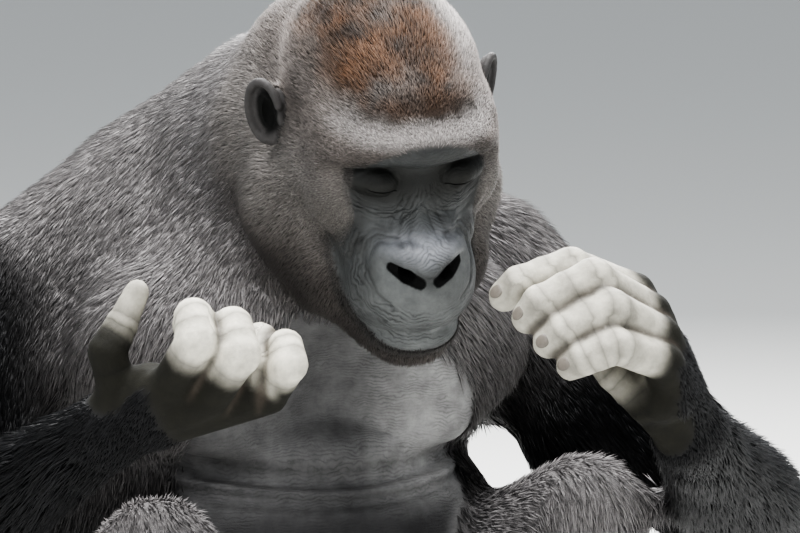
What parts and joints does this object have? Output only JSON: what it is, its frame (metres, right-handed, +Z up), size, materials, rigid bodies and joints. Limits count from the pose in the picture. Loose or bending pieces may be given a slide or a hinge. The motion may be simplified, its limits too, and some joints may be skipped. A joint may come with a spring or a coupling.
{
  "type": "gorilla",
  "caption": "Seated adult male gorilla, life size, hunched forward with knees up, head bowed and both hands raised before its mouth; a still model.",
  "frame": {"origin": "bottom centre of the bounding box, on the floor the animal sits on", "axes": "+Z up, the gorilla faces -Y, its left side is +X"},
  "size_m": [1.044, 0.826, 0.9537],
  "materials": {
    "dark_coat": "short dense dark grey-brown fur, paler at the hair tips, rufous on the crown",
    "bare_skin": "satin creased grey skin, paler on the fingers",
    "eye": "wet dark brown eye"
  },
  "bodies": {
    "root": {"belly": "dark_coat", "big_toe_left": "bare_skin", "big_toe_right": "bare_skin", "chest": "dark_coat", "ear_left": "bare_skin", "ear_right": "bare_skin", "eye_left": "eye", "eye_right": "eye", "foot_left": "bare_skin", "foot_right": "bare_skin", "forearm_left": "dark_coat", "forearm_right": "dark_coat", "hand_left": "bare_skin", "hand_right": "bare_skin", "head": "dark_coat", "index_finger_left": "bare_skin", "index_finger_right": "bare_skin", "little_finger_left": "bare_skin", "little_finger_right": "bare_skin", "middle_finger_left": "bare_skin", "middle_finger_right": "bare_skin", "neck": "dark_coat", "ring_finger_left": "bare_skin", "ring_finger_right": "bare_skin", "shin_left": "dark_coat", "shin_right": "dark_coat", "thigh_left": "dark_coat", "thigh_right": "dark_coat", "thumb_left": "bare_skin", "thumb_right": "bare_skin", "toe_2_left": "bare_skin", "toe_2_right": "bare_skin", "toe_3_left": "bare_skin", "toe_3_right": "bare_skin", "toe_4_left": "bare_skin", "toe_4_right": "bare_skin", "toe_5_left": "bare_skin", "toe_5_right": "bare_skin", "upper_arm_left": "dark_coat", "upper_arm_right": "dark_coat"}
  },
  "joints": []
}
